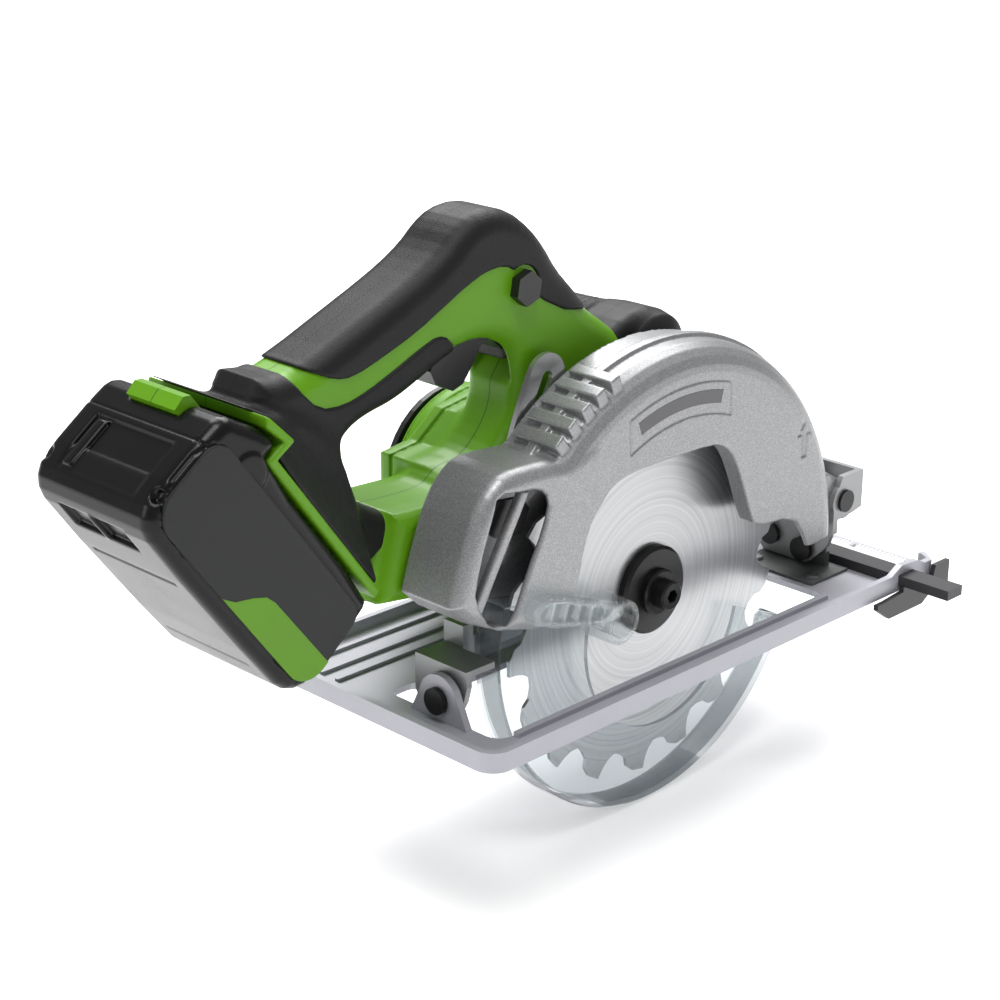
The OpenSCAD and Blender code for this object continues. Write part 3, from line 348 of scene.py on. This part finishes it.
def clear_plastic(name, tint, base):
    """Clear plastic that shows its edges and lets the view through its faces."""
    m, t, b = shader(name)
    out = t.nodes["Material Output"]
    noise = node(t, "ShaderNodeTexNoise", Scale=120.0, Detail=4.0)
    t.links.new(coords(t), noise.inputs["Vector"])
    b.inputs["Base Color"].default_value = (0.9, 0.92, 0.93, 1)
    b.inputs["Roughness"].default_value = 0.06
    b.inputs["Transmission Weight"].default_value = 0.9
    b.inputs["IOR"].default_value = 1.3
    bump = node(t, "ShaderNodeBump", Strength=0.25, Distance=0.0001)
    t.links.new(noise.outputs["Fac"], bump.inputs["Height"])
    t.links.new(bump.outputs["Normal"], b.inputs["Normal"])
    see = node(t, "ShaderNodeBsdfTransparent")
    see.inputs["Color"].default_value = tint
    edge = node(t, "ShaderNodeLayerWeight", Blend=0.35)
    facing = calc(t, "POWER", edge.outputs["Facing"], 5.0)
    f = calc(t, "ADD", calc(t, "MULTIPLY", facing, 0.9), base, clamp=True)
    mix = t.nodes.new("ShaderNodeMixShader")
    t.links.new(f, mix.inputs["Fac"])
    t.links.new(see.outputs[0], mix.inputs[1])
    t.links.new(b.outputs[0], mix.inputs[2])
    t.links.new(mix.outputs[0], out.inputs["Surface"])
    return m


def scale_finish():
    """White scale with a tick every 2 mm, running along Y."""
    m, t, b = shader("tick_scale")
    sep = node(t, "ShaderNodeSeparateXYZ")
    t.links.new(coords(t), sep.inputs[0])
    step = calc(t, "FRACT", calc(t, "MULTIPLY", sep.outputs["Y"], 400.0))
    tick = calc(t, "LESS_THAN", step, 0.2)
    long = calc(t, "LESS_THAN", calc(t, "FRACT", calc(t, "MULTIPLY", sep.outputs["Y"], 80.0)), 0.05)
    near = calc(t, "GREATER_THAN", sep.outputs["X"], 0.1605)
    mid = calc(t, "MULTIPLY", calc(t, "GREATER_THAN", sep.outputs["X"], 0.158), long)
    ink = calc(t, "MULTIPLY", tick, calc(t, "MAXIMUM", near, mid))
    mix = node(t, "ShaderNodeMix", data_type="RGBA")
    t.links.new(ink, mix.inputs["Factor"])
    mix.inputs["A"].default_value = (0.86, 0.86, 0.86, 1)
    mix.inputs["B"].default_value = (0.03, 0.03, 0.03, 1)
    t.links.new(mix.outputs["Result"], b.inputs["Base Color"])
    b.inputs["Roughness"].default_value = 0.4
    return m


# darker tint and larger opaque share for the rims of the clear guard: painted shade, the plastic
# itself is the same as the walls
clear_rim_painted_shade = clear_plastic("clear_rim_painted_shade", (0.42, 0.44, 0.45, 1), 0.30)
clear = clear_plastic("clear_guard", (0.93, 0.945, 0.95, 1), 0.015)
clear_thick = clear_plastic("clear_lever", (0.93, 0.95, 0.955, 1), 0.22)

FINISH = {
    "base_plate": plate, "front_scale": scale_finish(), "front_tilt_foot": dark_grey,
    "bevel_pins": black_steel, "base_rivets": steel, "rip_fence": fence_paint,
    "fence_clamp_screw": black, "front_tilt_bracket": bracket, "rear_tilt_bracket": bracket,
    "depth_quadrant": zinc, "depth_pivot_pin": black_steel, "bevel_lock_lever": black,
    "chute_insert": black, "guard_screws": steel, "gear_case": silver,
    "gear_case_cover": silver, "motor_end_cap": black, "stator": copper,
    "motor_bearings": steel, "spindle_bearings": steel, "trigger_switch": black,
    "control_board": board, "terminal_block": black, "housing_screws": steel,
    "depth_bolt": zinc, "guard_circlip": black_steel, "guard_spring": steel,
    "depth_lock_lever": black, "blade": blade_finish(), "inner_flange": black_steel,
    "outer_flange": black_steel, "blade_bolt": black_steel, "spindle": steel,
    "spindle_gear": steel, "rotor": steel, "motor_shaft": steel, "fan": black,
    "lower_guard": clear, "trigger": black,
    "lock_off_button": black, "spindle_lock_button": black, "battery_cells": cell_wrap,
    "battery_terminals": brass, "battery_latch": green,
}
EDGES = {"base_plate": 0.8, "rip_fence": 0.5, "trigger": 1.6, "lock_off_button": 0.8,
         "front_tilt_bracket": 0.8, "rear_tilt_bracket": 0.6, "outer_flange": 0.4,
         "blade_bolt": 0.4, "battery_latch": 1.0, "depth_lock_lever": 1.0,
         "bevel_lock_lever": 0.8, "spindle_lock_button": 0.6, "front_tilt_foot": 0.5,
         "depth_quadrant": 0.4, "motor_end_cap": 1.0, "fence_clamp_screw": 0.6,
         "bevel_pins": 0.5, "depth_pivot_pin": 0.5, "front_scale": 0.2,
         "chute_insert": 0.4}


def dress(o, m):
    """Gives an object one material."""
    o.data.materials.clear()
    o.data.materials.append(m)


for name, m in FINISH.items():
    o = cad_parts[name]
    dress(o, m)
    if name in EDGES:
        soften(o, EDGES[name])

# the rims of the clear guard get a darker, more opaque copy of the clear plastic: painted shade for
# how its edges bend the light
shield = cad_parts["lower_guard"]
shield.data.materials.append(clear_rim_painted_shade)
for f in shield.data.polygons:
    r = math.hypot(f.center.x, f.center.z - ARBOR_Z * MM)
    f.material_index = int(abs(f.normal.y) < 0.8 or r > 0.1025)

# ------------------------------------------------------------------ handle and housings
grip_top = [[-206, 163], [-190, 161], [-174, 166], [-148, 177], [-130, 184.5], [-116, 191],
            [-105, 197.5], [-97, 204.5], [-89, 209], [-77, 210.5], [-65, 207], [-54, 199],
            [-46, 190.5], [-38, 179], [-27, 168], [-16, 157], [-4, 149]]
hand_hole = [[-66, 118], [-64, 132], [-67, 147], [-73, 153], [-85, 157], [-100, 155.5],
             [-112, 151], [-124, 145.5], [-136, 141], [-150, 138.5], [-160, 134.5],
             [-166, 128], [-168, 119], [-163, 109], [-152, 99], [-138, 91.5], [-108, 91],
             [-99, 100], [-81, 101]]
body_under = [[-172, 79], [-160, 66], [-146, 55], [-120, 52], [-102, 50], [-90, 33],
              [-66, 33], [-56, 46], [-46, 60]]
front_edge = [[-10, 70], [4, 76], [12, 98], [14, 118], [10, 138]]
handle = body_under + front_edge + grip_top[::-1] + [[-201, 140]]
rubber_top = [[q[0], q[1] + 12] for q in grip_top] + [
    [-30, 158], [-55, 170.5], [-66, 183], [-73, 187], [-84, 186.5], [-96, 182], [-108, 176],
    [-124, 168], [-142, 161.5], [-158, 156.5], [-167, 157], [-180, 163], [-200, 172]]
rubber_rear = [[-216, 174], [-192, 172], [-187, 158], [-176, 147], [-163, 146], [-150, 149.5],
               [-136, 155], [-122, 161], [-112, 164.5], [-105, 162], [-97, 150], [-112, 130],
               [-140, 125], [-150, 110], [-137, 97], [-139, 84], [-155, 74], [-176, 76],
               [-204, 118], [-216, 139]]


def handle_field(g, grow):
    d = rounded(outline(soft_points(handle, 1), g.x, g.z) - grow, band(g.y, 21, 55) - grow, 10)
    hole = outline(soft_points(hand_hole, 2), g.x, g.z) + grow
    return cut(d, hole, 9.0)


g = Grid((-218, -6, 24), (24, 100, 216), HOUSING_STEP)
px, pz = g.x * 0.6 - g.z * 0.8, g.x * 0.8 + g.z * 0.6
body = handle_field(g, 0.0)
room = [[-116, 145], [-116, 171], [-88, 174.6], [-56, 175], [-54, 146], [-66, 130], [-90, 134]]
body = cut(body, rounded(outline(room, g.x, g.z), band(g.y, 26.6, 49.4), 1.0), 1.0)
pin_hole = np.hypot(g.x - TRIGGER_X, g.z - TRIGGER_Z) - 2.8
body = cut(body, np.maximum(pin_hole, band(g.y, 24.6, 51.4)), 0.3)
house2 = belt_sd(g.x, g.z, -30, 68, 44, -14.9, 47.4, 33)
house = rounded(house2, band(g.y, 33, 96.8), 9)
link = rounded(outline([[-99, 58], [-99, 99], [-82, 101], [-66, 113], [-40, 117], [-36, 56],
                        [-80, 56]], g.x, g.z), band(g.y, 36, 76), 7)
house = join(house, link, 5)
# stepped ribs and cooling slots across the motor house
ring = np.abs(np.mod(g.y - 60.0, 9.0) - 4.5) - 0.9
house = np.where((g.y > 62) & (g.y < 92), cut(house, np.maximum(ring, -(house + 1.1)), 0.8), house)
shell = join(body, house, 3.5)
collar = rounded(outline([[-268, -88.8], [-254.5, -82.6], [-242.8, -80.2], [-243.3, -90.8],
                          [-155, -90.8], [-155, -86.6], [-239.4, -86.6], [-238.8, -76.2],
                          [-255, -78.6], [-270, -85.2]], px, pz), band(g.y, 1.2, 74.8), 1.5)
post = rounded(outline([[-150, 57], [-128, 54], [-100, 52], [-96, 92], [-140, 94]], g.x, g.z),
               band(g.y, 14, 62), 6)
shell = join(shell, post, 5)
shell = np.minimum(shell, collar)
dress(skin("green_shell", g, shell, "head", ("housing_right", "housing_left")), green)

g = Grid((-222, -4, 60), (24, 78, 222), HOUSING_STEP)
px, pz = g.x * 0.6 - g.z * 0.8, g.x * 0.8 + g.z * 0.6
coat = handle_field(g, 1.1)
top = both(coat, outline(soft_points(rubber_top, 1), g.x, g.z), 1.4)
rear = both(coat, outline(soft_points(rubber_rear, 1), g.x, g.z), 1.4)
flare2 = outline(soft_points([[-268, -84.2], [-255, -78.4], [-238, -76], [-239.8, -87.0],
                              [-156.5, -87.0], [-157, -82], [-172, -70], [-200, -56],
                              [-224, -60], [-240, -70], [-262, -81]], 1), px, pz)
half = np.interp(pz.ravel(), [-90, -85, -78, -68, -58], [36, 34.5, 28.5, 22, 18]).reshape(pz.shape)
flare = rounded(flare2, np.abs(g.y - 38) - half, 3)
rear = join(rear, flare, 7)
under = both(np.minimum(handle_field(g, -2.0), 9.0),
             outline([[-118, 142], [-118, 168], [-70, 176], [-60, 160], [-66, 130], [-90, 134]],
                     g.x, g.z), 1.0)
cover = np.minimum(np.minimum(top, rear), under)
button = np.hypot(g.x + 62.5, g.z - 176) - 9.4
cover = cut(cover, button, 1.2)
cover = both(cover, -(pz + 88.6), 0.6)
dress(skin("rubber_grip", g, cover, "head", ("grip_rubber_right", "grip_rubber_left")), rubber)

# ------------------------------------------------------------------ front handle
g = Grid((-10, 12, 94), (50, 104, 154), HOUSING_STEP)
rad = np.hypot(g.x - 27, g.z - 130.5)
wid = np.interp(g.y.ravel(), [12, 15, 20, 27, 44, 60, 78, 90, 98, 102],
                [6, 12, 16.6, 18.4, 18.4, 16.6, 16.1, 17.8, 15, 6])[None, :, None]
bar = rounded(rad - wid, band(g.y, 15.2, 100.8), 5)
web = rounded(outline(soft_points([[-6, 98], [-7, 140], [12, 149], [27, 149.2], [44, 124],
                                   [30, 102]], 1), g.x, g.z), band(g.y, 23, 53), 6)
lines = np.maximum(np.abs(np.mod(g.y, 4.0) - 2.0) - 0.5, 60 - g.y)
bar = cut(join(bar, web, 6), np.maximum(lines, -(bar + 0.7)), 0.5)
dress(skin("front_bar", g, bar, "head", ("aux_handle",)), rubber)

# ------------------------------------------------------------------ upper guard
g = Grid((-147, -24, 24), (142, 15, 152), GUARD_STEP)
rad = np.hypot(g.x, g.z - ARBOR_Z)
ang = np.degrees(np.arctan2(g.z - ARBOR_Z, g.x))
profile = [[10, -21], [105.5, -21], [109, -20.5], [112.5, -18.8], [115.6, -15.6], [117.6, -11.5],
           [118, -8], [118, -6.2], [120, -5.4], [120.2, -1], [118, -0.4], [118, 12.6],
           [34, 12.6], [34, 9.9], [114.5, 9.9], [114.5, -9], [112.5, -14], [109, -16.8],
           [104, -18], [10, -18]]
rim = outline(profile, rad, g.y)
sector = (np.abs(ang - 67) - 67.5) * rad * math.pi / 180
rim = both(rim, sector, 1.0)
chute_out = soft_points([[-50, 118], [-76, 112], [-95, 114], [-112, 114.3], [-121, 109],
                         [-128, 100], [-133.5, 88], [-138.5, 74], [-143, 59], [-100, 38.5],
                         [-74, 38.5], [-50, 60]], 1)
c2 = outline(chute_out, g.x, g.z)
bowl = rounded(c2, band(g.y, -21, 40), 7)
inner = rounded(c2 + 3.2, band(g.y, -17.6, 38), 6.5)
chute = cut(bowl, inner, 1.0)
chute = np.minimum(np.maximum(chute, g.y - 12.4), rounded(c2, band(g.y, 9.7, 12.4), 0.5))
hollow = np.maximum(rad - 112.5, band(g.y, -17.6, 9.6))
chute = cut(chute, hollow, 1.5)
far = rounded(outline([[-90, 27.5], [-36, 27.5], [-30, 46], [-26, 52], [-20, 60], [-50, 100],
                       [-80, 76]], g.x, g.z), band(g.y, 10, 12.4), 0.6)
guard = join(join(rim, chute, 2.6), far, 0.6)
guard = cut(guard, np.maximum(np.maximum(rad - 104, band(g.y, -17.8, 9.6)), 24 - g.z), 1.0)
# stepped ribs on the rear of the rim
for a in (111.5, 116.2, 120.9, 125.6, 130.3):
    step = np.abs(ang - a) * rad * math.pi / 180 - 3.0
    rib = rounded(np.maximum(step, np.abs(rad - 116.2) - 5.4), band(g.y, -17.0, 8), 0.5)
    guard = join(guard, rib, 0.5)
lug = rounded(np.hypot(g.x - PIVOT_X, g.z - PIVOT_Z) - 9.4, band(g.y, -12, 8.8), 1.2)
web = rounded(outline([[112, 50], [118, 57], [132, 49], [126, 31.4], [112, 31.4]], g.x, g.z),
              band(g.y, -12, 8.8), 1.5)
guard = join(guard, join(lug, web, 2), 2.5)
window = soft_points([[-84, 14], [-69, 57], [-66, 71], [-60, 84], [-49, 94], [-36, 97],
                      [-10, 97.4], [18, 97], [27, 94], [34, 87], [41, 73], [47, 58], [52, 48.5],
                      [80.5, 46], [92, 32], [98, 14]], 1)
w2 = outline(window, g.x, g.z)
guard = cut(guard, np.maximum(w2, g.y + 10), 1.2)
# skirt round the window, turned in towards the blade
skirt = rounded(np.abs(w2 - 1.5) - 1.5, band(g.y, -20.6, -11.5), 0.8)
skirt = np.maximum(np.maximum(skirt, rad - 103), 46 - g.z)
guard = join(guard, skirt, 0.8)
vent = soft_points([[-117, 107], [-105, 105], [-94, 104], [-87, 98], [-90, 86], [-100, 68],
                    [-109, 48], [-117, 46.5], [-131, 63], [-128, 78], [-121, 97]], 1)
guard = cut(guard, np.maximum(outline(vent, g.x, g.z), g.y + 8), 2.2)
spar = rounded(outline([[-101, 104], [-96, 103], [-124, 55], [-128, 59]], g.x, g.z),
               band(g.y, -17.5, -13.5), 1.2)
guard = join(guard, spar, 1.5)
# blank badge panel and an engraved arrow
badge = np.maximum(np.abs(ang - 93) * rad * math.pi / 180 - 34.5, np.abs(rad - 94.2) - 7.4)
guard = cut(guard, np.maximum(np.abs(badge) - 0.45, np.abs(g.y + 21.2) - 0.9), 0.2)
arrow = outline([[84, 75], [88, 75], [88, 86], [91.5, 86], [86, 94], [80.5, 86], [84, 86]],
                g.x, g.z)
guard = cut(guard, np.maximum(np.abs(arrow + 0.5) - 0.8, np.abs(g.y + 21.4) - 1.1), 0.2)
guard = cut(guard, np.hypot(g.x - PIVOT_X, g.z - PIVOT_Z) - 4.05, 0.2)
for sx, sz in ((-41, 40), (-20, 73), (22, 62), (37, 30)):
    seat = np.maximum(np.hypot(g.x - sx, g.z - sz) - 4.5, np.abs(g.y - 9) - 2.5)
    guard = cut(guard, seat, 0.2)
for y0, y1 in ((-20, -11.9), (8.7, 20)):
    cheek = np.maximum(np.hypot(g.x - PIVOT_X, g.z - PIVOT_Z) - 11.2, band(g.y, y0, y1))
    guard = cut(guard, cheek, 0.3)
guard = np.maximum(guard, 27.4 - g.z)
dress(skin("guard_casting", g, guard, "head", ("upper_guard",)), silver)
badge_points = [[r * math.cos(math.radians(a)), ARBOR_Z + r * math.sin(math.radians(a))]
                for r, seq in ((97.6, range(76, 111)), (91.2, range(110, 75, -1))) for a in seq]
dress(extruded("badge", badge_points, -21.15, -20.5, "head", (), 0.2), badge_grey)

# ------------------------------------------------------------------ lever of the clear guard
g = Grid((-110, -33.5, 16), (-30, -5, 64), LEVER_STEP)
arm2 = outline(soft_points([[-105, 47.8], [-106.5, 54], [-101, 59], [-92, 58], [-60, 46],
                            [-50, 42], [-52.5, 37], [-62, 36.8]], 1), g.x, g.z)
arm = rounded(arm2, band(g.y, -31.5, -22.8), 1.6)
along = (g.x + 105) * 0.937 - (g.z - 53) * 0.349
pocket = np.maximum(np.abs(np.mod(along, 8.2) - 4.1) - 2.7, np.abs(arm2 + 6.0) - 3.6)
arm = cut(arm, np.maximum(np.maximum(pocket, along - 44), g.y + 27.0), 0.6)
teeth = np.maximum(np.abs(np.mod(along, 4.1) - 2.05) - 0.7, np.abs(arm2 + 0.3) - 0.8)
arm = join(arm, np.maximum(np.maximum(teeth, along - 40), band(g.y, -31, -24)), 0.5)
ring_at = np.hypot(g.x - RING_X, g.z - RING_Z)
root = rounded(outline([[-62, 45], [-45, 41], [-41, 22], [-60, 33]], g.x, g.z),
               band(g.y, -24.5, -22.6), 0.7)
boss = rounded(ring_at - 10.5, band(g.y, -24.5, -7.5), 0.9)
hole = np.maximum(ring_at - 7.0, g.y + 11)
lever = cut(join(join(arm, root, 2), boss, 1.2), hole, 0.6)
collar_ring = rounded(np.abs(ring_at - 8.6) - 0.7, band(g.y, -24.8, -23), 0.4)
lever = join(lever, collar_ring, 0.4)
dress(skin("clear_lever", g, lever, "blade_guard", ("guard_lever",)), clear_thick)

# ------------------------------------------------------------------ battery, in its sloping frame
g = Grid((-277, -3, -149), (-150, 79, -78), HOUSING_STEP)
X, Y, Z = g.x, g.y, g.z
side = soft_points([[-273.4, -98], [-273.4, -134], [-268, -142.5], [-258, -145.3],
                    [-170, -145.3], [-160, -143], [-154, -134], [-154, -98], [-158, -91.4],
                    [-243.8, -91.4], [-243.8, -81.4], [-254, -83.6], [-264, -88.4],
                    [-271, -91.5]], 1)
case = rounded(outline(side, X, Z), band(Y, 0.6, 75.4), 6)
# hollow of the end face, its bead and the parting line
hollow = np.maximum(np.abs(Y - MID_Y) - 24, np.abs(Z + 122) - 13)
hollow = rounded(hollow, np.abs(X + 274.6) - 2.4, 1)
case = cut(case, hollow, 1.0)
bead = rounded(np.abs(Y - 57) - 2.6, np.abs(X + 272.0) - 1.6, 1.2)
bead = np.maximum(bead, np.abs(Z + 122) - 11)
case = join(case, bead, 1.4)
case = cut(case, np.maximum(np.abs(Z + 105.4) - 0.35, -(case + 0.6)), 0.3)
for y0 in (3.4, 72.6):
    case = cut(case, np.sqrt((X + 272.6) ** 2 + (Y - y0) ** 2 + (Z + 131) ** 2) - 3.3, 0.5)
slot = rounded(np.maximum(np.abs(X + 255) - 6, np.abs(Y - 40) - 20), np.abs(Z + 147) - 4.4, 1.0)
case = cut(case, slot, 0.8)
case = join(case, rounded(np.maximum(np.abs(X + 255) - 6.4, np.abs(Y - 40) - 1.2),
                          np.abs(Z + 143.6) - 1.6, 0.6), 0.8)
for x0 in (-232, -178):
    rib = np.maximum(np.abs(X - x0) - 0.8, np.abs(Y - MID_Y) - 26)
    rib = rounded(rib, np.abs(Z + 145.6) - 1.0, 0.4)
    case = cut(case, rib, 0.5)
# shallow seat of the side panels
seat = outline(soft_points([[-263, -99], [-271.5, -104], [-271.5, -130], [-262, -140.2],
                            [-165, -140.2], [-156, -132], [-156, -104], [-163, -98.4]], 1), X, Z)
case = cut(case, np.maximum(np.abs(seat) - 0.35, -(case + 0.7)), 0.3)
hub = rounded(np.hypot(X + 247, Z + 99.5) - 8.2, np.abs(Y - MID_Y) - 38.2, 1.0)
case = join(case, hub, 1.2)
case = cut(case, np.maximum(np.maximum(X + 261.4, np.abs(Y - MID_Y) - 15.2), -(Z + 98.6)), 0.4)
case = cut(case, rounded(seat, 37.3 - np.abs(Y - MID_Y), 0.3), 0.2)
dress(skin("battery_shell", g, case, "battery", ("battery_case", "battery_lid"), turn=SLOPE), gloss)


def arc(x, z, r, a0, a1, n=8):
    return [[x + r * math.cos(math.radians(a0 + (a1 - a0) * i / n)),
             z + r * math.sin(math.radians(a0 + (a1 - a0) * i / n))] for i in range(n + 1)]


panel = (arc(-261, -108, 9, 95, 180) + arc(-258, -127, 12, 180, 270)
         + arc(-168, -127, 12, 270, 360) + arc(-165, -107, 8, 0, 85))
wedge = [[-220, -139]] + arc(-168, -127, 12, 270, 360) + [[-156, -123.4], [-198, -124.2],
                                                         [-203, -125.4], [-208, -129.5],
                                                         [-214, -136]]
for k, (y0, y1) in enumerate(((0.0, 1.6), (74.4, 76.0))):
    side = "right" if k == 0 else "left"
    o = extruded("panel_" + side, panel, y0, y1, "battery", ("battery_panels",) if k == 0 else (),
                 0.5, SLOPE)
    dress(o, panel_grey)
    yy = (-0.15, 0.4) if k == 0 else (75.6, 76.15)
    o = extruded("panel_corner_" + side, wedge, *yy, "battery", (), 0.1, SLOPE)
    dress(o, panel_green)

# ------------------------------------------------------------------ stage, light and camera
scene = bpy.context.scene
floor = bpy.data.meshes.new("floor")
floor.from_pydata([(-6, -6, FLOOR_Z), (6, -6, FLOOR_Z), (6, 6, FLOOR_Z), (-6, 6, FLOOR_Z)], [],
                  [(0, 1, 2, 3)])
floor = bpy.data.objects.new("floor", floor)
scene.collection.objects.link(floor)
pale = finish_of("pale_floor", (0.93, 0.93, 0.93), 0.7, grain=60, grain_depth=0.01,
                 mottle=0.005, spec=0.2)
pale.node_tree.nodes["Principled BSDF"].inputs["Emission Color"].default_value = (1, 1, 1, 1)
pale.node_tree.nodes["Principled BSDF"].inputs["Emission Strength"].default_value = 0.3
dress(floor, pale)

world = bpy.data.worlds.new("studio")
scene.world = world
world.use_nodes = True
world.node_tree.nodes["Background"].inputs[0].default_value = (1, 1, 1, 1)
world.node_tree.nodes["Background"].inputs[1].default_value = 0.36


def lamp(name, at, aim, size, power):
    d = bpy.data.lights.new(name, "AREA")
    d.shape, d.size, d.energy = "SQUARE", size, power
    o = bpy.data.objects.new(name, d)
    scene.collection.objects.link(o)
    o.location = at
    o.rotation_mode = "QUATERNION"
    o.rotation_quaternion = (Vector(aim) - Vector(at)).to_track_quat("-Z", "Y")


lamp("key", (-0.45, -0.45, 1.6), (-0.03, 0, 0.06), 0.7, 14)
lamp("fill", (-1.5, 0.5, 0.7), (-0.05, 0, 0.08), 0.7, 5)
lamp("back", (0.8, 1.0, 1.4), (0, 0, 0.08), 0.8, 8)
lamp("sweep", (1.5, 1.4, 2.4), (1.6, 1.5, -0.07), 3.0, 150)

cam = bpy.data.cameras.new("camera")
cam.sensor_width, cam.lens = 36, 77.722
cam.clip_start, cam.clip_end = 0.01, 50
eye = bpy.data.objects.new("camera", cam)
scene.collection.objects.link(eye)
# the camera was fitted to the edges of the sole and the circles of blade and guard
right, up, back = ((0.70442, -0.70976, 0.00608), (0.24091, 0.24714, 0.93856),
                   (-0.66766, -0.65967, 0.34508))
loc = (-0.6992, -0.6212, 0.4060)
eye.matrix_world = Matrix([[right[i], up[i], back[i], loc[i]] for i in range(3)] + [[0, 0, 0, 1]])
scene.camera = eye
scene.view_settings.view_transform = "Standard"
